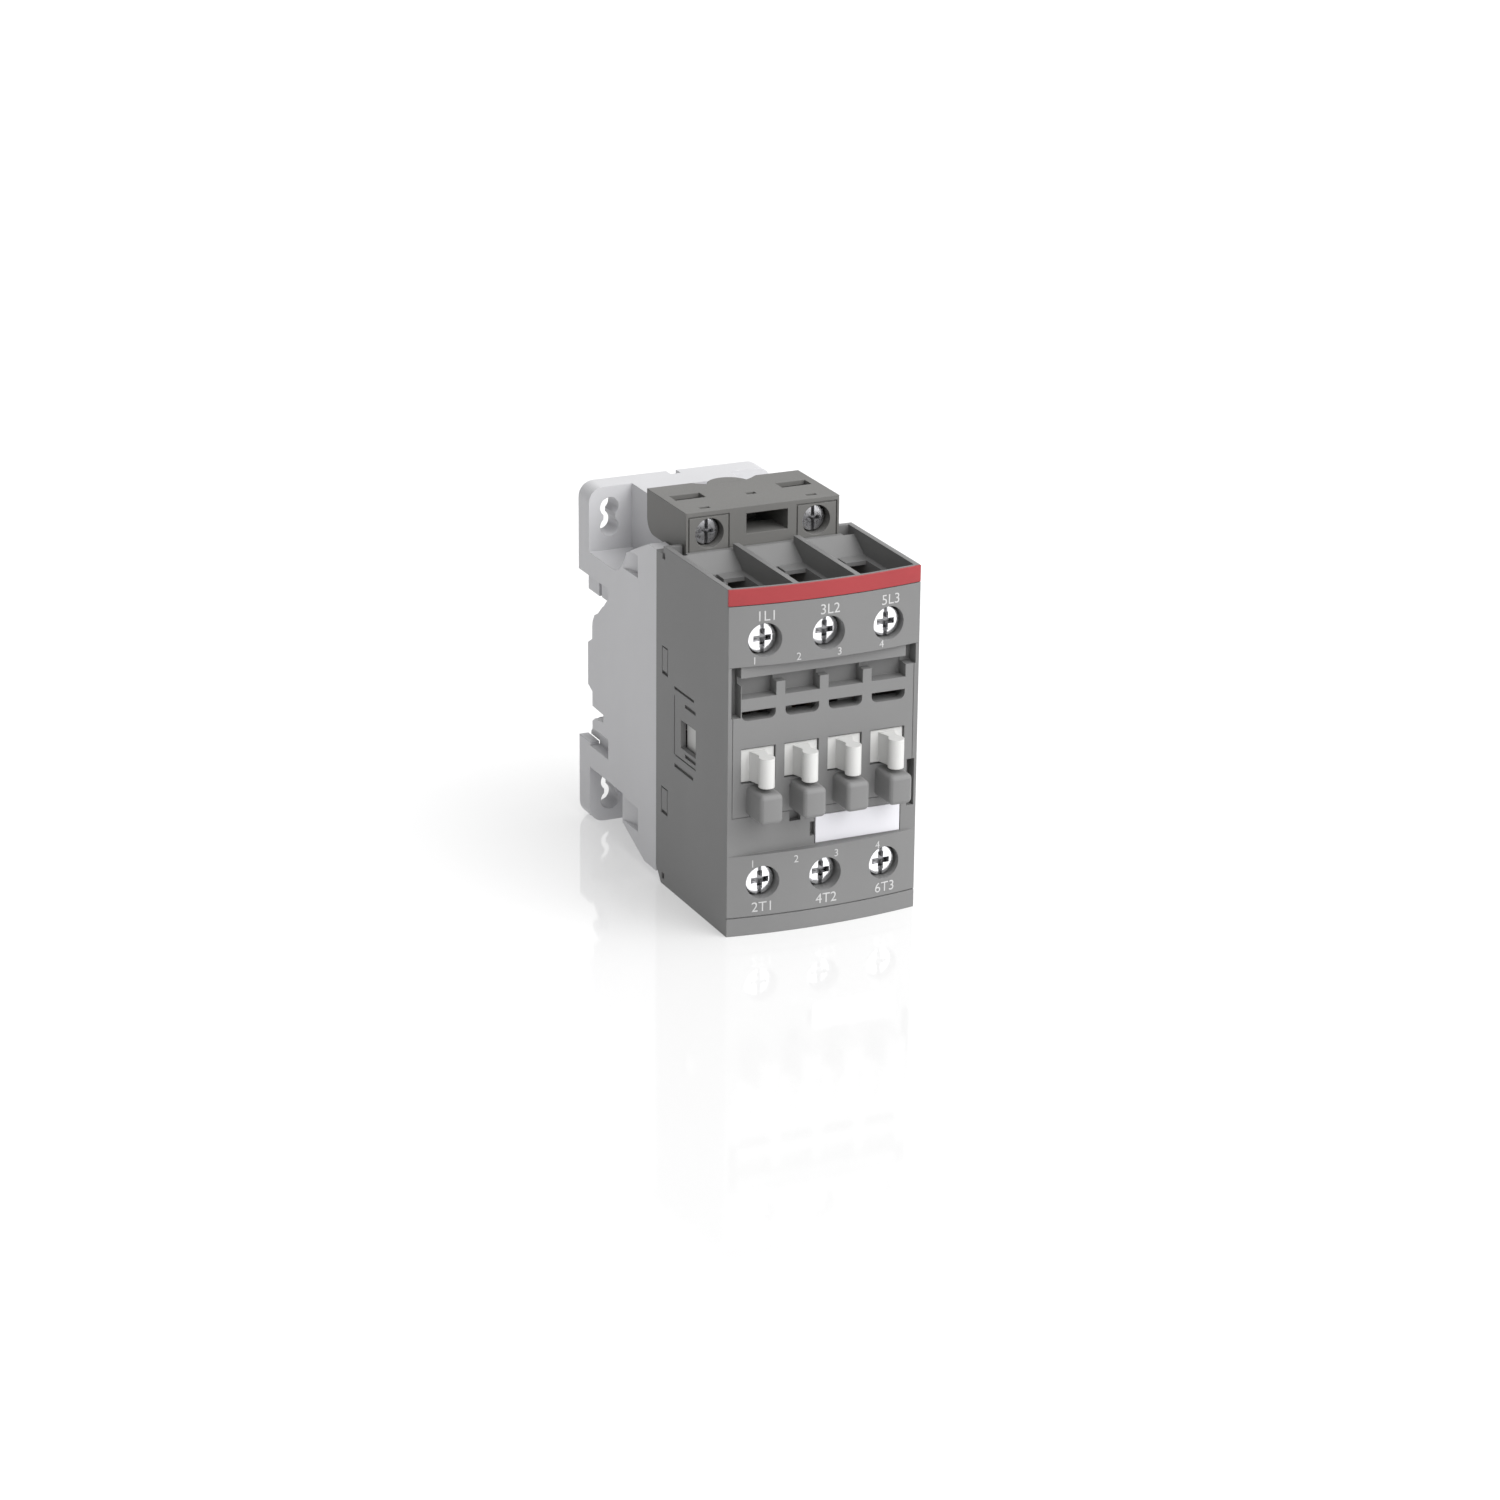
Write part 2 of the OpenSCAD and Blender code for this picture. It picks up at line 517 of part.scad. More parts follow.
// A rising clamp: a frame round the tongue, with the screw's thread in its front wall
module clamp(x, z, hx, hz, wall, back, front, bore) {
    difference() {
        box([x - hx, x + hx], [back, front], [z - hz, z + hz]);
        box([x - hx + wall, x + hx - wall], [back + wall + 0.3, front - wall - 0.5], [z - hz - 1, z + hz + 1]);
        rod(x, z, [front - wall - 1, front + 1], bore);
    }
}
module main_clamp(x, z) color([0.75, 0.76, 0.78])
    clamp(x, z, 4.2, 3.2, 1, clamp_back + 0.2, clamp_front, shank_r + 0.05);
// A line clamp's back plate ends in a tab that shows in the wire chamber
module line_clamp(x) color([0.75, 0.76, 0.78]) {
    main_clamp(x, line_z);
    box([x - 4.2, x - 0.6], [clamp_back + 0.2, clamp_back + 1.4], [line_z + 3, line_floor + 0.4]);
}
module slot_cross(len, w, depth) {
    for (a = [0, 90]) rotate([0, 0, a]) translate([-len / 2, -w / 2, -depth]) cube([len, w, depth + 1]);
}
module screw(x, z, b_tip, b_head, t, r, r_shank) {
    translate([x, -b_tip, z]) rotate([90, 0, 0]) difference() {
        union() {
            cylinder(r = r_shank, h = b_head - b_tip + e);
            translate([0, 0, b_head - b_tip]) cylinder(r = r, h = t);
        }
        translate([0, 0, b_head - b_tip + t]) {
            slot_cross(r * 1.15, r * 0.32, t * 0.62);
            translate([-r - 1, -r * 0.13, -t * 0.35]) cube([2 * r + 2, r * 0.26, t]);
        }
    }
}
module main_screw(x, z) color([0.88, 0.88, 0.9])
    screw(x, z, strip_b + strip_t + 0.1, head_b, head_t, head_r, shank_r);

module bridge_1() bridge(poles[0]);
module bridge_2() bridge(poles[1]);
module bridge_3() bridge(poles[2]);
module contact_spring_1() contact_spring(poles[0]);
module contact_spring_2() contact_spring(poles[1]);
module contact_spring_3() contact_spring(poles[2]);
module line_contact_1() fixed_contact(poles[0], 1, line_z);
module line_contact_2() fixed_contact(poles[1], 1, line_z);
module line_contact_3() fixed_contact(poles[2], 1, line_z);
module load_contact_1() fixed_contact(poles[0], -1, -load_z);
module load_contact_2() fixed_contact(poles[1], -1, -load_z);
module load_contact_3() fixed_contact(poles[2], -1, -load_z);
module line_clamp_1() line_clamp(poles[0]);
module line_clamp_2() line_clamp(poles[1]);
module line_clamp_3() line_clamp(poles[2]);
module load_clamp_1() main_clamp(poles[0], -load_z);
module load_clamp_2() main_clamp(poles[1], -load_z);
module load_clamp_3() main_clamp(poles[2], -load_z);
module line_screw_1() main_screw(poles[0], line_z);
module line_screw_2() main_screw(poles[1], line_z);
module line_screw_3() main_screw(poles[2], line_z);
module load_screw_1() main_screw(poles[0], -load_z);
module load_screw_2() main_screw(poles[1], -load_z);
module load_screw_3() main_screw(poles[2], -load_z);

// ---- Coil terminals ----

module coil_clamp(x) color([0.75, 0.76, 0.78])
    clamp(x, coil_z, 3.3, 2.9, 0.8, 34.4, 43.9, coil_shank_r + 0.05);
module coil_screw(x) color([0.7, 0.7, 0.7])
    screw(x, coil_z, coil_strip_b + 1.1, coil_head_b, 1.8, coil_head_r, coil_shank_r);
module coil_strip(x) color([0.8, 0.62, 0.4])
    box([x - 2.4, x + 2.4], [coil_strip_b, coil_strip_b + 1], [board_z + 1.6, 43.6]);
module coil_clamp_a1() coil_clamp(-coil_x);
module coil_clamp_a2() coil_clamp(coil_x);
module coil_screw_a1() coil_screw(-coil_x);
module coil_screw_a2() coil_screw(coil_x);
module coil_strip_a1() coil_strip(-coil_x);
module coil_strip_a2() coil_strip(coil_x);

base_housing();
main_housing();
front_cover();
red_band();
label_plate();
coil_terminal_block();
contact_carrier();
armature();
armature_pin();
fixed_core();
core_cushion();
coil_bobbin();
coil_winding();
separator_plate();
circuit_board();
return_spring_left();
return_spring_right();
rail_latch();
rail_latch_spring();
bridge_1();
bridge_2();
bridge_3();
contact_spring_1();
contact_spring_2();
contact_spring_3();
line_contact_1();
line_contact_2();
line_contact_3();
load_contact_1();
load_contact_2();
load_contact_3();
line_clamp_1();
line_clamp_2();
line_clamp_3();
load_clamp_1();
load_clamp_2();
load_clamp_3();
line_screw_1();
line_screw_2();
line_screw_3();
load_screw_1();
load_screw_2();
load_screw_3();
coil_clamp_a1();
coil_clamp_a2();
coil_screw_a1();
coil_screw_a2();
coil_strip_a1();
coil_strip_a2();
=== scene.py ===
import json
import math

import bmesh
import bpy
from mathutils import Matrix, Vector

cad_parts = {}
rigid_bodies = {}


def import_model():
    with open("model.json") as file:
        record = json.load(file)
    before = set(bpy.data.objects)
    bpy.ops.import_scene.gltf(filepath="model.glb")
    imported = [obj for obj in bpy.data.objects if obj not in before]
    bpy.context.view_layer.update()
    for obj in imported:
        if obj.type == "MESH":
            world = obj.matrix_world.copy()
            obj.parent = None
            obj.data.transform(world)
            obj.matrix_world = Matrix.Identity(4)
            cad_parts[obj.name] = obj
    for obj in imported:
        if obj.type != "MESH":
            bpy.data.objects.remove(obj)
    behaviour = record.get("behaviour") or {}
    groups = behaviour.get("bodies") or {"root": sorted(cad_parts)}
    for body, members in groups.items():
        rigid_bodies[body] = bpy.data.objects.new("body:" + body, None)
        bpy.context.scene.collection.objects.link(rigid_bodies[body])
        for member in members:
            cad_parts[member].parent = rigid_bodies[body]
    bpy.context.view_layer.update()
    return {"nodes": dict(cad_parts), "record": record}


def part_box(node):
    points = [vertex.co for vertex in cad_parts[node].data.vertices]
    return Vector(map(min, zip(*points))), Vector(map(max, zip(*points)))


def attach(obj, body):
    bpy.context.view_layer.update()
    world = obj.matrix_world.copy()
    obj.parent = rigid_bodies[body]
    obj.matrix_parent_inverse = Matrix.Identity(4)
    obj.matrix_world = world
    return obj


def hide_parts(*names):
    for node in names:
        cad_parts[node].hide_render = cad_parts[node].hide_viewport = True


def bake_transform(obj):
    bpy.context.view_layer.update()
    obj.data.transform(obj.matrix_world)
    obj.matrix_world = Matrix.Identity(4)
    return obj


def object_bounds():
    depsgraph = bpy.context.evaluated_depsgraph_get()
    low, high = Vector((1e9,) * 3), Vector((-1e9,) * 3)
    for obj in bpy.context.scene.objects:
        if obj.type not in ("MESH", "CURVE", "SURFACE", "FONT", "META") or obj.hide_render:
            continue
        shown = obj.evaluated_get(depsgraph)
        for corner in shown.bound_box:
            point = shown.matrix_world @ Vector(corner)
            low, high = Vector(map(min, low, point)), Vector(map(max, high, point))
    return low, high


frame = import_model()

mm = 0.001
nodes = frame["nodes"]
slotOf = {part["node"]: part["material_slot"] for part in frame["record"]["subparts"]}
bodyOf = {node: body for body, held in frame["record"]["behaviour"]["bodies"].items() for node in held}


def newMaterial(name):
    mat = bpy.data.materials.new(name)
    mat.use_nodes = True
    tree = mat.node_tree
    tree.nodes.clear()
    out = tree.nodes.new("ShaderNodeOutputMaterial")
    shader = tree.nodes.new("ShaderNodeBsdfPrincipled")
    coords = tree.nodes.new("ShaderNodeTexCoord")
    tree.links.new(shader.outputs["BSDF"], out.inputs["Surface"])
    return mat, tree, shader, coords.outputs["Object"]


def noise(tree, coords, scale, detail=4.0, stretch=None):
    if stretch:
        mapping = tree.nodes.new("ShaderNodeMapping")
        mapping.inputs["Scale"].default_value = stretch
        tree.links.new(coords, mapping.inputs["Vector"])
        coords = mapping.outputs["Vector"]
    tex = tree.nodes.new("ShaderNodeTexNoise")
    tex.inputs["Scale"].default_value = scale
    tex.inputs["Detail"].default_value = detail
    tree.links.new(coords, tex.inputs["Vector"])
    return tex.outputs["Fac"]


def spread(tree, value, low, high):
    remap = tree.nodes.new("ShaderNodeMapRange")
    remap.inputs["From Min"].default_value = 0.3
    remap.inputs["From Max"].default_value = 0.7
    remap.inputs["To Min"].default_value = low
    remap.inputs["To Max"].default_value = high
    tree.links.new(value, remap.inputs["Value"])
    return remap.outputs["Result"]


def tint(tree, value, dark, light):
    mix = tree.nodes.new("ShaderNodeMix")
    mix.data_type = "RGBA"
    tree.links.new(value, mix.inputs["Factor"])
    mix.inputs["A"].default_value = (*dark, 1)
    mix.inputs["B"].default_value = (*light, 1)
    return mix.outputs["Result"]


def bump(tree, shader, heights, strength, edgeRadius=0.0):
    last = None
    if edgeRadius:
        rounded = tree.nodes.new("ShaderNodeBevel")
        rounded.samples = 6
        rounded.inputs["Radius"].default_value = edgeRadius
        last = rounded.outputs["Normal"]
    for height, distance in heights:
        node = tree.nodes.new("ShaderNodeBump")
        node.inputs["Strength"].default_value = strength
        node.inputs["Distance"].default_value = distance
        tree.links.new(height, node.inputs["Height"])
        if last:
            tree.links.new(last, node.inputs["Normal"])
        last = node.outputs["Normal"]
    tree.links.new(last, shader.inputs["Normal"])


# Moulded plastic: spark-eroded grain, faint flow marks and uneven gloss
plasticLook = {"grain": 5200, "grainDepth": 0.000006, "flow": 55, "flowDepth": 0.00003, "drift": 0.05,
               "edgeRadius": 0.00022}


def mouldedPlastic(name, color, gloss=0.42, drift=None):
    mat, tree, shader, coords = newMaterial(name)
    look = plasticLook
    drift = look["drift"] if drift is None else drift
    grain = noise(tree, coords, look["grain"], 3)
    flow = noise(tree, coords, look["flow"], 5, (1, 1, 0.45))
    dark = [c * (1 - drift) for c in color]
    light = [c * (1 + drift) for c in color]
    tree.links.new(tint(tree, spread(tree, flow, 0, 1), dark, light), shader.inputs["Base Color"])
    tree.links.new(spread(tree, grain, gloss - 0.05, gloss + 0.07), shader.inputs["Roughness"])
    shader.inputs["Specular IOR Level"].default_value = 0.24
    bump(tree, shader, [(grain, look["grainDepth"]), (flow, look["flowDepth"])], 0.5, look["edgeRadius"])
    return mat


# Painted shade that deepens with depth below a screw head's face, which lies at a known height off the
# panel
def shadeDeep(tree, coords, tone, shadeFrom):
    parts = tree.nodes.new("ShaderNodeSeparateXYZ")
    tree.links.new(coords, parts.inputs[0])
    depth = tree.nodes.new("ShaderNodeMapRange")
    depth.inputs["From Min"].default_value = -shadeFrom[0] * mm
    depth.inputs["From Max"].default_value = -shadeFrom[1] * mm
    tree.links.new(parts.outputs["Y"], depth.inputs["Value"])
    mix = tree.nodes.new("ShaderNodeMix")
    mix.data_type = "RGBA"
    tree.links.new(depth.outputs["Result"], mix.inputs["Factor"])
    tree.links.new(tone, mix.inputs["A"])
    # the painted shade colour reached at the recess floor
    mix.inputs["B"].default_value = (0.2, 0.2, 0.205, 1)
    return mix.outputs["Result"]


# Plated or bare metal: fine turning or rolling lines over soft blotches
metalLook = {"lines": 2600, "lineDepth": 0.000004, "blotch": 240, "drift": 0.08}


def platedMetal(name, color, rough, brush=(1, 1, 1), shadeFrom=None):
    mat, tree, shader, coords = newMaterial(name)
    look = metalLook
    brushed = noise(tree, coords, look["lines"], 2, brush)
    blotch = noise(tree, coords, look["blotch"], 4)
    dark = [c * (1 - look["drift"]) for c in color]
    tone = tint(tree, spread(tree, blotch, 0, 1), dark, color)
    # painted shade darkening the screw recesses with depth
    if shadeFrom:
        tone = shadeDeep(tree, coords, tone, shadeFrom)
    tree.links.new(tone, shader.inputs["Base Color"])
    tree.links.new(spread(tree, brushed, rough * 0.75, rough * 1.35), shader.inputs["Roughness"])
    shader.inputs["Metallic"].default_value = 1
    bump(tree, shader, [(brushed, look["lineDepth"])], 0.6)
    return mat


# Stacked sheets: thin dark seams at an even pitch across the stack
def laminatedSteel(name, color, pitch):
    mat, tree, shader, coords = newMaterial(name)
    wave = tree.nodes.new("ShaderNodeTexWave")
    wave.bands_direction = "X"
    wave.inputs["Scale"].default_value = math.pi / (10 * pitch)
    wave.inputs["Distortion"].default_value = 0.4
    tree.links.new(coords, wave.inputs["Vector"])
    seams = spread(tree, wave.outputs["Fac"], 0, 1)
    tree.links.new(tint(tree, seams, [c * 0.45 for c in color], color), shader.inputs["Base Color"])
    tree.links.new(spread(tree, noise(tree, coords, 1500), 0.32, 0.5), shader.inputs["Roughness"])
    shader.inputs["Metallic"].default_value = 0.9
    bump(tree, shader, [(wave.outputs["Fac"], 0.00004)], 0.6)
    return mat


finishes = {
    "base_grey": mouldedPlastic("lightGreyShell", (0.585, 0.585, 0.6), 0.38, 0.02),
    "latch_grey": mouldedPlastic("lightGreyLatch", (0.56, 0.56, 0.575), 0.4, 0.02),
    "housing_grey": mouldedPlastic("midGreyHousing", (0.197, 0.197, 0.197), 0.42, 0.03),
    "cover_grey": mouldedPlastic("midGreyCover", (0.203, 0.203, 0.203), 0.44, 0.03),
    "block_grey": mouldedPlastic("midGreyBlock", (0.165, 0.163, 0.157), 0.48, 0.03),
    "band_red": mouldedPlastic("redBand", (0.33, 0.045, 0.05), 0.36, 0.04),
    "label_white": mouldedPlastic("whiteLabel", (0.69, 0.685, 0.72), 0.5, 0.02),
    "carrier_white": mouldedPlastic("whiteCarrier", (0.6, 0.6, 0.59), 0.36, 0.02),
    "terminal_screw": platedMetal("brightNickel", (0.9, 0.9, 0.92), 0.2, shadeFrom=(80.45, 79.9)),
    "coil_screw": platedMetal("dullZinc", (0.6, 0.6, 0.62), 0.3, shadeFrom=(47.7, 47.2)),
    "zinc_steel": platedMetal("zincSteel", (0.75, 0.76, 0.78), 0.3, (1, 0.1, 1)),
    "magnet_steel": laminatedSteel("sheetStack", (0.42, 0.42, 0.44), 0.0007),
    "spring_steel": platedMetal("springWire", (0.62, 0.62, 0.64), 0.28),
    "contact_bronze": platedMetal("copperAlloy", (0.83, 0.56, 0.36), 0.27, (1, 0.15, 1)),
    "cushion_rubber": mouldedPlastic("softRubber", (0.03, 0.03, 0.03), 0.6),
    "bobbin_black": mouldedPlastic("blackBobbin", (0.04, 0.04, 0.042), 0.45),
    "winding_copper": platedMetal("enamelledCopper", (0.72, 0.33, 0.16), 0.24),
    "separator_black": mouldedPlastic("blackSeparator", (0.06, 0.06, 0.062), 0.5),
    "board_green": mouldedPlastic("solderResist", (0.02, 0.14, 0.07), 0.25),
}
lettering = mouldedPlastic("whiteInk", (0.52, 0.52, 0.52), 0.5, 0.02)
for node, slot in slotOf.items():
    mats = nodes[node].data.materials
    mats.clear()
    mats.append(finishes[slot])
print("materials:", len(finishes))


def toMesh(obj, name):
    graph = bpy.context.evaluated_depsgraph_get()
    mesh = bpy.data.meshes.new_from_object(obj.evaluated_get(graph))
    piece = bpy.data.objects.new(name, mesh)
    bpy.context.scene.collection.objects.link(piece)
    bpy.data.objects.remove(obj)
    piece.name = name
    return piece


def place(piece, node, rides=True):
    piece.data.materials.clear()
    piece.data.materials.append(finishes[slotOf[node]])
    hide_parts(node)
    if rides:
        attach(piece, bodyOf[node])
    return piece


# A CAD shell as one merged skin, with its edges rounded where a width is given
def smoothShell(name, node, width=0.0):
    mesh = nodes[node].data.copy()
    mesh.transform(nodes[node].matrix_world)
    bm = bmesh.new()
    bm.from_mesh(mesh)
    bmesh.ops.remove_doubles(bm, verts=bm.verts, dist=0.002 * mm)
    bmesh.ops.dissolve_degenerate(bm, dist=0.001 * mm, edges=bm.edges)
    bm.to_mesh(mesh)
    bm.free()
    if "custom_normal" in mesh.attributes:
        mesh.attributes.remove(mesh.attributes["custom_normal"])
    obj = bpy.data.objects.new(name + "Draft", mesh)
    bpy.context.scene.collection.objects.link(obj)
    if width:
        mod = obj.modifiers.new("edges", "BEVEL")
        mod.width = width * mm
        mod.segments = 2
        mod.limit_method = "ANGLE"
        mod.angle_limit = math.radians(38)
        mod.use_clamp_overlap = False
    piece = toMesh(obj, name)
    for face in piece.data.polygons:
        face.use_smooth = True
    piece.data.set_sharp_from_angle(angle=math.radians(18))
    return place(piece, node)


shells = [
    ("baseShell", "base_housing", 0),
    ("frontHousing", "main_housing", 0),
    ("frontCover", "front_cover", 0),
    ("redStrip", "red_band", 0.08),
    ("labelPlate", "label_plate", 0.1),
    ("coilBlock", "coil_terminal_block", 0),
    ("contactCarrier", "contact_carrier", 0),
    ("railLatch", "rail_latch", 0.2),
]
for name, node, width in shells:
    smoothShell(name, node, width)
print("shells:", len(shells))


class Tree:
    def __init__(self, name, inputs):
        self.group = bpy.data.node_groups.new(name, "GeometryNodeTree")
        self.group.interface.new_socket("Geometry", in_out="OUTPUT", socket_type="NodeSocketGeometry")
        self.ids = {}
        for label, value in inputs.items():
            socket = self.group.interface.new_socket(label, in_out="INPUT", socket_type="NodeSocketFloat")
            socket.default_value = value
            self.ids[label] = socket.identifier
        self.source = self.group.nodes.new("NodeGroupInput")
        self.sink = self.group.nodes.new("NodeGroupOutput")

    def value(self, label):
        return self.source.outputs[label]

    def add(self, kind, **inputs):
        node = self.group.nodes.new(kind)
        for key, value in inputs.items():
            self.feed(node.inputs[key.replace("_", " ")], value)
        return node

    def feed(self, target, value):
        if isinstance(value, bpy.types.NodeSocket):
            self.group.links.new(value, target)
        else:
            target.default_value = value

    def math(self, op, a, b=0.0):
        node = self.group.nodes.new("ShaderNodeMath")
        node.operation = op
        self.feed(node.inputs[0], a)
        self.feed(node.inputs[1], b)
        return node.outputs[0]

    def vector(self, x=0.0, y=0.0, z=0.0):
        return self.add("ShaderNodeCombineXYZ", X=x, Y=y, Z=z).outputs[0]

    def move(self, geometry, offset=(0, 0, 0), turn=(0, 0, 0)):
        node = self.add("GeometryNodeTransform", Geometry=geometry, Translation=offset)
        node.inputs["Rotation"].default_value = turn
        return node.outputs["Geometry"]

    def join(self, parts):
        node = self.group.nodes.new("GeometryNodeJoinGeometry")
        for part in parts:
            self.group.links.new(part, node.inputs[0])
        return node.outputs[0]

    # A round frustum from one height to the next
    def cone(self, lowRadius, highRadius, low, high, sides=64):
        height = self.math("SUBTRACT", high, low)
        node = self.add("GeometryNodeMeshCone", Vertices=sides, Depth=height,
                        Radius_Bottom=lowRadius, Radius_Top=highRadius)
        return self.move(node.outputs["Mesh"], self.vector(z=low))

    # A bar sunk into a top face, its floor narrower than its mouth
    def recess(self, length, width, depth, top, taper, degrees):
        above = 0.5 * mm
        square = self.cone(taper * math.sqrt(0.5), math.sqrt(0.5), 0.0, self.math("ADD", depth, above), 4)
        square = self.move(square, turn=(0, 0, math.radians(45)))
        bar = self.add("GeometryNodeTransform", Geometry=square, Scale=self.vector(length, width, 1.0))
        base = self.math("SUBTRACT", top, depth)
        return self.move(bar.outputs[0], self.vector(z=base), (0, 0, math.radians(degrees)))

    def solid(self, op, parts, first=None):
        node = self.group.nodes.new("GeometryNodeMeshBoolean")
        node.operation = op
        node.solver = "EXACT"
        if first:
            self.group.links.new(first, node.inputs["Mesh 1"])
        for part in parts:
            self.group.links.new(part, node.inputs["Mesh 2"])
        return node.outputs["Mesh"]

    def finish(self, geometry, material):
        real = self.add("GeometryNodeRealizeInstances", Geometry=geometry)
        dressed = self.add("GeometryNodeSetMaterial", Geometry=real.outputs[0])
        dressed.inputs["Material"].default_value = material
        self.group.links.new(dressed.outputs[0], self.sink.inputs[0])

    def make(self, name, values):
        obj = bpy.data.objects.new(name, bpy.data.meshes.new(name))
        bpy.context.scene.collection.objects.link(obj)
        mod = obj.modifiers.new("shape", "NODES")
        mod.node_group = self.group
        for label, value in values.items():
            mod[self.ids[label]] = value
        return toMesh(obj, name)


# A helix of wire round Z, from 0 up to its length, with a closed coil at each end
def springTree():
    tree = Tree("wireSpring", {"radius": 2 * mm, "wire": 0.3 * mm, "turns": 6.0, "length": 10 * mm})
    wire = tree.value("wire")
    rise = tree.math("SUBTRACT", tree.value("length"), tree.math("MULTIPLY", wire, 6.0))
    body = tree.add("GeometryNodeCurveSpiral", Resolution=28, Rotations=tree.value("turns"))
    tree.feed(body.inputs["Start Radius"], tree.value("radius"))
    tree.feed(body.inputs["End Radius"], tree.value("radius"))
    tree.feed(body.inputs["Height"], rise)
    low = tree.add("GeometryNodeCurveSpiral", Resolution=28, Rotations=1.0)
    for socket in ("Start Radius", "End Radius"):
        tree.feed(low.inputs[socket], tree.value("radius"))
    tree.feed(low.inputs["Height"], tree.math("MULTIPLY", wire, 2.0))
    lowAt = tree.move(low.outputs[0], tree.vector(z=wire))
    bodyAt = tree.move(body.outputs[0], tree.vector(z=tree.math("MULTIPLY", wire, 3.0)))
    topZ = tree.math("SUBTRACT", tree.value("length"), tree.math("MULTIPLY", wire, 3.0))
    topAt = tree.move(low.outputs[0], tree.vector(z=topZ))
    ring = tree.add("GeometryNodeCurvePrimitiveCircle", Resolution=10)
    tree.feed(ring.inputs["Radius"], wire)
    tube = tree.add("GeometryNodeCurveToMesh", Curve=tree.join([lowAt, bodyAt, topAt]))
    tree.feed(tube.inputs["Profile Curve"], ring.outputs[0])
    tube.inputs["Fill Caps"].default_value = True
    tree.finish(tube.outputs[0], finishes["spring_steel"])
    return tree


def shadeSmooth(piece, angle=35):
    for face in piece.data.polygons:
        face.use_smooth = True
    piece.data.set_sharp_from_angle(angle=math.radians(angle))


# The springs lie in their CAD nodes' boxes, along the longest side of each
springSizes = {
    "return_spring_left": {"axis": "y", "turns": 5.0, "wire": 0.35},
    "return_spring_right": {"axis": "y", "turns": 5.0, "wire": 0.35},
    "contact_spring_1": {"axis": "y", "turns": 4.0, "wire": 0.33},
    "contact_spring_2": {"axis": "y", "turns": 4.0, "wire": 0.33},
    "contact_spring_3": {"axis": "y", "turns": 4.0, "wire": 0.33},
    "rail_latch_spring": {"axis": "z", "turns": 4.0, "wire": 0.28},
}


# A spring's two bodies and the height of its still end, as the record has them
def springEnds():
    ends = {}
    for joint in frame["record"]["behaviour"]["joints"]:
        for held in joint.get("deforming_nodes", []):
            still = held.get("fixed_end_y_m", held.get("fixed_end_z_m"))
            ends[held["node"]] = (joint["parent"], joint["child"], still)
    return ends


def buildSprings():
    tree = springTree()
    ends = springEnds()
    for node, size in springSizes.items():
        low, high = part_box(node)
        along = 1 if size["axis"] == "y" else 2
        length = high[along] - low[along]
        radius = (high[0] - low[0]) / 2 - size["wire"] * mm
        values = {"radius": radius, "wire": size["wire"] * mm, "turns": size["turns"], "length": length}
        piece = tree.make(node.replace("_", "") + "Wire", values)
        centre = (low + high) / 2
        if along == 1:
            turn = Matrix.Rotation(math.radians(-90), 4, "X")
            start = Vector((centre.x, low.y, centre.z))
        else:
            turn = Matrix.Identity(4)
            start = Vector((centre.x, centre.y, low.z))
        piece.data.transform(Matrix.Translation(start) @ turn)
        shadeSmooth(piece, 60)
        place(piece, node, rides=False)
        parent, child, still = ends[node]
        start, end = Vector(centre), Vector(centre)
        start[along] = still
        end[along] = low[along] if high[along] - still < still - low[along] else high[along]
        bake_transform(piece)
    print("springs:", len(springSizes))


buildSprings()


# Combination head: a slot right across and a cross recess, over a threaded shank
mainScrew = {"headRadius": 3.4, "headHeight": 2.0, "slotWidth": 0.95, "slotDepth": 1.0, "dome": 0.25,
             "crossLength": 4.4, "crossWidth": 1.35, "crossDepth": 1.5,
             "shankRadius": 2.5, "threadDepth": 0.32, "pitch": 0.8}
coilScrew = {"headRadius": 3.0, "headHeight": 1.8, "slotWidth": 0.8, "slotDepth": 0.9, "dome": 0.2,
             "crossLength": 3.6, "crossWidth": 0.85, "crossDepth": 1.1,
             "shankRadius": 1.75, "threadDepth": 0.25, "pitch": 0.6}
# Shares of the head's radius, dome and pitch that both screws have
screwShape = {"shoulder": 2.0, "crown": 0.6, "broad": 0.94, "narrow": 0.74, "slotLength": 2.2,
              "crossFloor": 0.72, "halfThread": 0.45, "plainShank": 0.6}


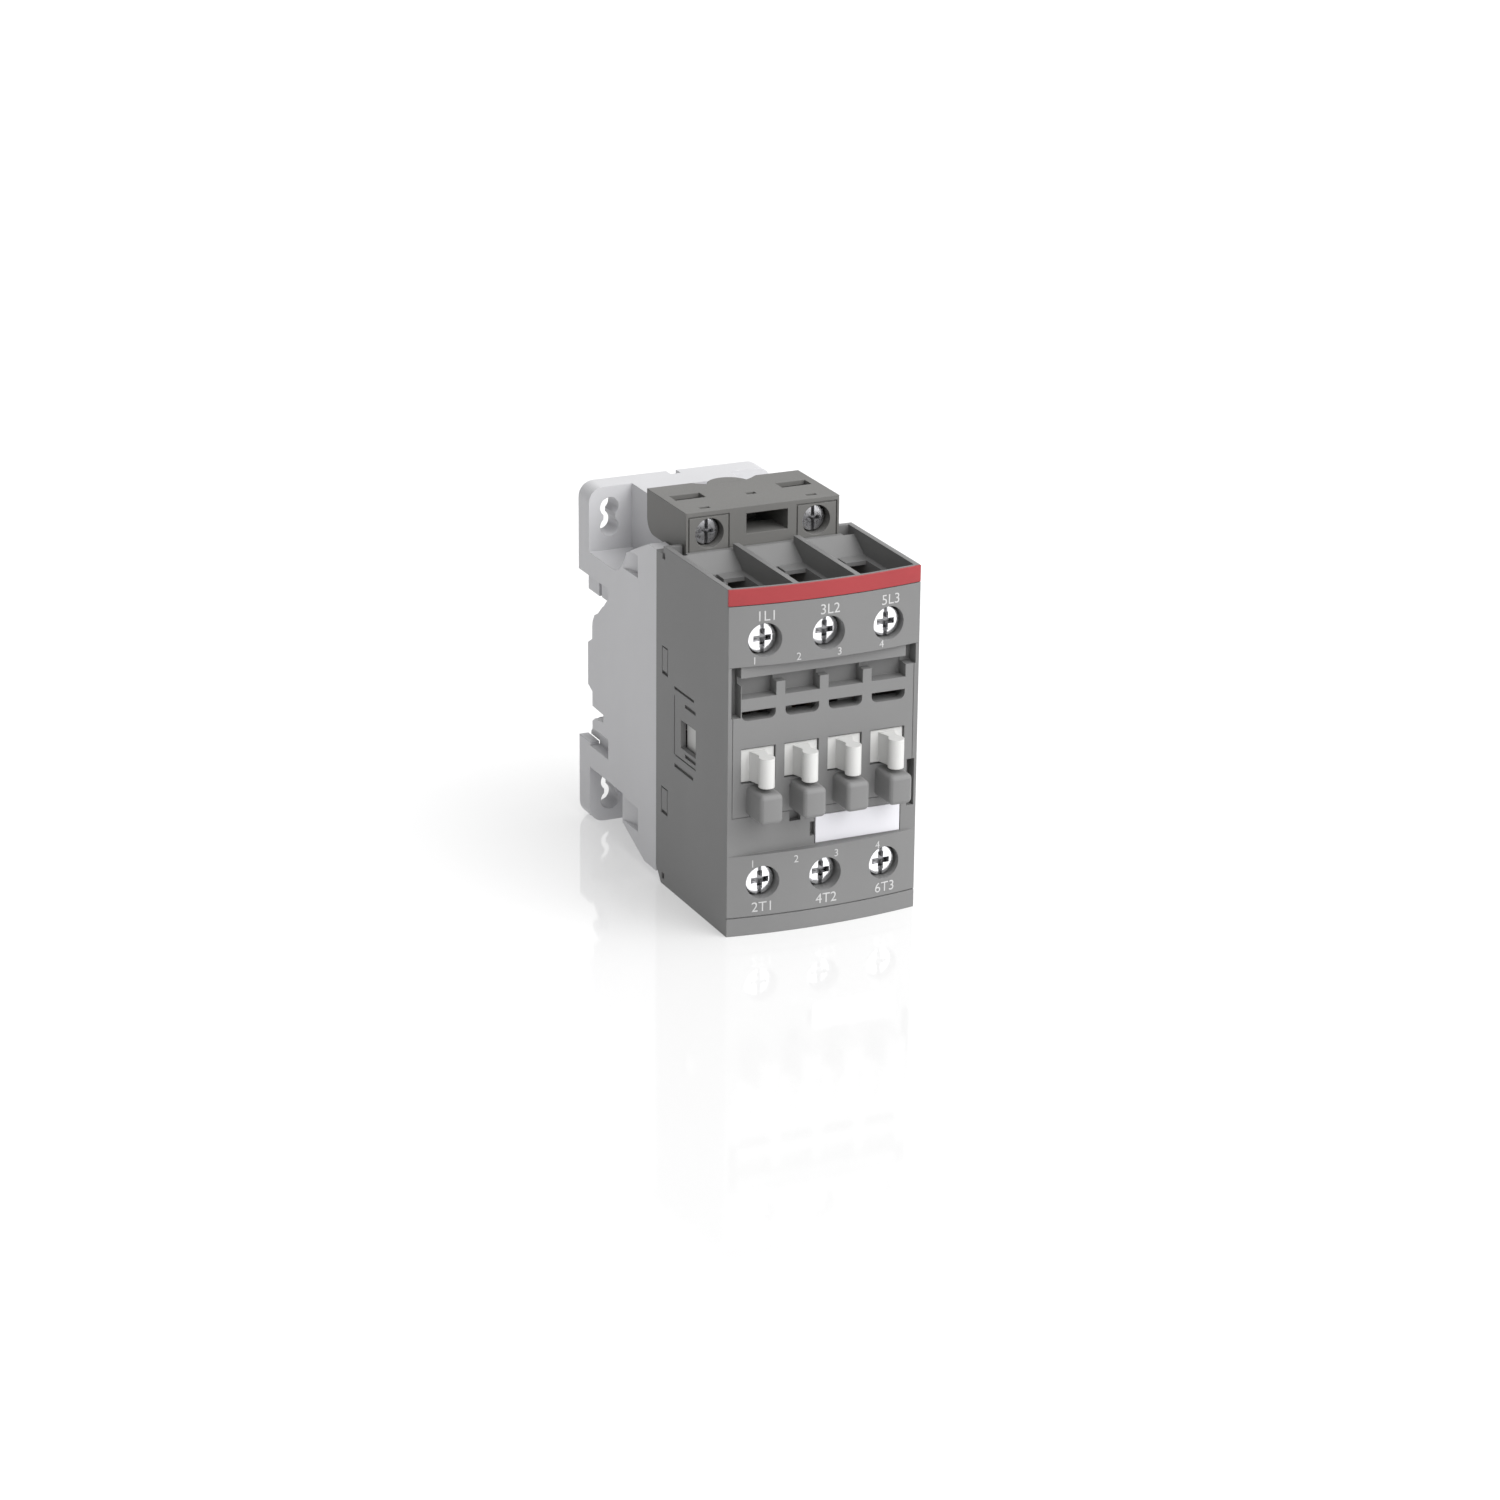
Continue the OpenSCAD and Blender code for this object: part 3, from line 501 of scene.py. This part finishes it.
# A combination-head screw up +Z: its tip at 0, its face at the full length, a thread ring at every pitch
def screwTree(size):
    tree = Tree("combiScrew", {"length": 15 * mm, **{key: value * mm for key, value in size.items()}})
    shape = screwShape
    part, top, r = tree.value, tree.value("length"), tree.value("headRadius")
    root = tree.math("SUBTRACT", part("shankRadius"), part("threadDepth"))
    seat = tree.math("SUBTRACT", top, part("headHeight"))
    shoulder = tree.math("SUBTRACT", top, tree.math("MULTIPLY", part("dome"), shape["shoulder"]))
    crown = tree.math("SUBTRACT", top, tree.math("MULTIPLY", part("dome"), shape["crown"]))
    broad, narrow = (tree.math("MULTIPLY", r, shape[key]) for key in ("broad", "narrow"))
    head = tree.solid("UNION", [tree.cone(r, r, seat, shoulder), tree.cone(r, broad, shoulder, crown),
                                tree.cone(broad, narrow, crown, top), tree.cone(root, root, 0.0, seat)])

    across = tree.math("MULTIPLY", r, shape["slotLength"])
    cutters = [tree.recess(across, part("slotWidth"), part("slotDepth"), top, 1.0, 90)]
    for turn in (0, 90):
        cutters.append(tree.recess(part("crossLength"), part("crossWidth"), part("crossDepth"), top,
                                   shape["crossFloor"], turn))
    head = tree.solid("DIFFERENCE", cutters, head)

    half = tree.math("MULTIPLY", part("pitch"), shape["halfThread"])
    ring = tree.join([tree.cone(root, part("shankRadius"), 0.0, half),
                      tree.cone(part("shankRadius"), root, half, tree.math("MULTIPLY", half, 2.0))])
    pitches = tree.math("DIVIDE", seat, part("pitch"))
    count = tree.math("FLOOR", tree.math("SUBTRACT", pitches, shape["plainShank"]))
    steps = tree.add("GeometryNodeMeshLine", Count=count, Offset=tree.vector(z=part("pitch")))
    thread = tree.add("GeometryNodeInstanceOnPoints", Points=steps.outputs[0], Instance=ring)
    tree.finish(tree.join([head, thread.outputs[0]]), finishes["terminal_screw"])
    return tree


def buildScrews():
    trees = {"coil": (screwTree(coilScrew), coilScrew), "main": (screwTree(mainScrew), mainScrew)}
    count = 0
    for node in slotOf:
        if "_screw_" not in node:
            continue
        tree, size = trees["coil" if node.startswith("coil") else "main"]
        low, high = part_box(node)
        values = {key: value * mm for key, value in size.items()}
        piece = tree.make(node.replace("_", "") + "Body", {"length": high.y - low.y, **values})
        centre = (low + high) / 2
        tip = Vector((centre.x, high.y, centre.z))
        piece.data.transform(Matrix.Translation(tip) @ Matrix.Rotation(math.radians(90), 4, "X"))
        shadeSmooth(piece, 28)
        place(piece, node)
        count += 1
    print("screws:", count)


buildScrews()


frontLook = {"halfWidth": 22.5, "edge": 81.5, "bow": 1.95, "ink": 0.035}


def bowedFront(x):
    half, bow = frontLook["halfWidth"], frontLook["bow"]
    radius = (half * half + bow * bow) / (2 * bow)
    return -(math.sqrt(radius * radius - x * x) + frontLook["edge"] + bow - radius)


# words, centre across, centre height, cap height
marks = [
    ("1L1", -14.2, 32.1, 2.3), ("3L2", 0.2, 32.1, 2.3), ("5L3", 14.9, 32.1, 2.3),
    ("2T1", -14.5, -33.6, 2.3), ("4T2", 0.3, -33.6, 2.3), ("6T3", 14.8, -33.6, 2.3),
]
for k, x in enumerate((-16.8, -6.9, 2.6, 12.8)):
    marks.append((str(k + 1), x, 22.3, 1.7))
    marks.append((str(k + 1), x, -23.6, 1.7))


def inkMesh(words, x, z, height):
    curve = bpy.data.curves.new("ink", "FONT")
    curve.body = words
    curve.size = height / 0.72 * mm
    curve.align_x = "CENTER"
    curve.extrude = frontLook["ink"] * mm
    curve.resolution_u = 6
    obj = bpy.data.objects.new("ink", curve)
    bpy.context.scene.collection.objects.link(obj)
    mesh = toMesh(obj, "inkMesh").data
    for vert in mesh.vertices:
        across = x + vert.co.x / mm
        upward = z - height / 2 + vert.co.y / mm
        vert.co = Vector((across, bowedFront(across) - vert.co.z / mm, upward)) * mm
    return mesh


def buildLettering():
    bm = bmesh.new()
    for words, x, z, height in marks:
        bm.from_mesh(inkMesh(words, x, z, height))
    bmesh.ops.recalc_face_normals(bm, faces=bm.faces)
    mesh = bpy.data.meshes.new("terminalNumbers")
    bm.to_mesh(mesh)
    bm.free()
    for stray in [o for o in bpy.data.objects if o.name.startswith("inkMesh")]:
        bpy.data.objects.remove(stray)
    piece = bpy.data.objects.new("terminalNumbers", mesh)
    bpy.context.scene.collection.objects.link(piece)
    mesh.materials.append(lettering)
    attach(piece, "casing")
    print("marks:", len(marks))


buildLettering()


studio = {"floorColor": 0.55, "floorGlow": 0.37, "fill": 0.31,
          "lobes": [((0.41, -0.6, 0.69), 5, 4.65), ((0.35, 0.9, 0.35), 6, 0.7)]}


def buildStage():
    low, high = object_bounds()
    bpy.ops.mesh.primitive_plane_add(size=8, location=(0, 0, low.z - 0.02 * mm))
    floor = bpy.context.object
    floor.name = "floor"
    mat, tree, shader, coords = newMaterial("paleFloor")
    tone = studio["floorColor"]
    clouds = spread(tree, noise(tree, coords, 2.0), 0, 1)
    tree.links.new(tint(tree, clouds, (tone * 0.995,) * 3, (tone,) * 3), shader.inputs["Base Color"])
    shader.inputs["Roughness"].default_value = 0.06
    shader.inputs["Emission Color"].default_value = (1, 1, 1, 1)
    shader.inputs["Emission Strength"].default_value = studio["floorGlow"]
    shader.inputs["Specular IOR Level"].default_value = 1.0
    floor.data.materials.append(mat)


# A pale room: even fill, a broad soft key from the front, right and above, and a faint light from behind
def buildLight():
    world = bpy.data.worlds.new("studio")
    bpy.context.scene.world = world
    world.use_nodes = True
    tree = world.node_tree
    back = tree.nodes["Background"]
    back.inputs["Color"].default_value = (1, 1, 1, 1)
    way = tree.nodes.new("ShaderNodeTexCoord").outputs["Generated"]

    def lobe(direction, power, strength):
        aim = tree.nodes.new("ShaderNodeVectorMath")
        aim.operation = "DOT_PRODUCT"
        tree.links.new(way, aim.inputs[0])
        aim.inputs[1].default_value = Vector(direction).normalized()
        clamp = tree.nodes.new("ShaderNodeClamp")
        tree.links.new(aim.outputs["Value"], clamp.inputs["Value"])
        raised = tree.nodes.new("ShaderNodeMath")
        raised.operation = "POWER"
        tree.links.new(clamp.outputs[0], raised.inputs[0])
        raised.inputs[1].default_value = power
        scaled = tree.nodes.new("ShaderNodeMath")
        scaled.operation = "MULTIPLY"
        tree.links.new(raised.outputs[0], scaled.inputs[0])
        scaled.inputs[1].default_value = strength
        return scaled.outputs[0]

    total = None
    for direction, power, strength in studio["lobes"]:
        add = tree.nodes.new("ShaderNodeMath")
        tree.links.new(lobe(direction, power, strength), add.inputs[0])
        if total is None:
            add.inputs[1].default_value = studio["fill"]
        else:
            tree.links.new(total, add.inputs[1])
        total = add.outputs[0]
    tree.links.new(total, back.inputs["Strength"])


shot = {"azimuth": -24.96, "elevation": 19.92, "roll": 0.556, "distance": 970, "lens": 105,
        "aim": (0, -41.5, 0), "across": 1.097, "down": 12.88}


def buildCamera():
    a, e, roll = (math.radians(shot[key]) for key in ("azimuth", "elevation", "roll"))
    back = Vector((math.sin(a) * math.cos(e), -math.cos(a) * math.cos(e), math.sin(e)))
    level = Vector((math.cos(a), math.sin(a), 0))
    upright = back.cross(level)
    right = math.cos(roll) * level + math.sin(roll) * upright
    up = -math.sin(roll) * level + math.cos(roll) * upright
    camera = bpy.data.objects.new("camera", bpy.data.cameras.new("camera"))
    camera.data.lens = shot["lens"]
    camera.data.sensor_width = 36
    camera.data.clip_end = 20
    spot = Vector(shot["aim"]) + back * shot["distance"] + right * shot["across"] - up * shot["down"]
    camera.location = spot * mm
    camera.rotation_mode = "QUATERNION"
    camera.rotation_quaternion = Matrix((right, up, back)).transposed().to_quaternion()
    bpy.context.scene.collection.objects.link(camera)
    bpy.context.scene.camera = camera


buildStage()
buildLight()
buildCamera()
bpy.context.scene.view_settings.view_transform = "Standard"
print("stage ready")
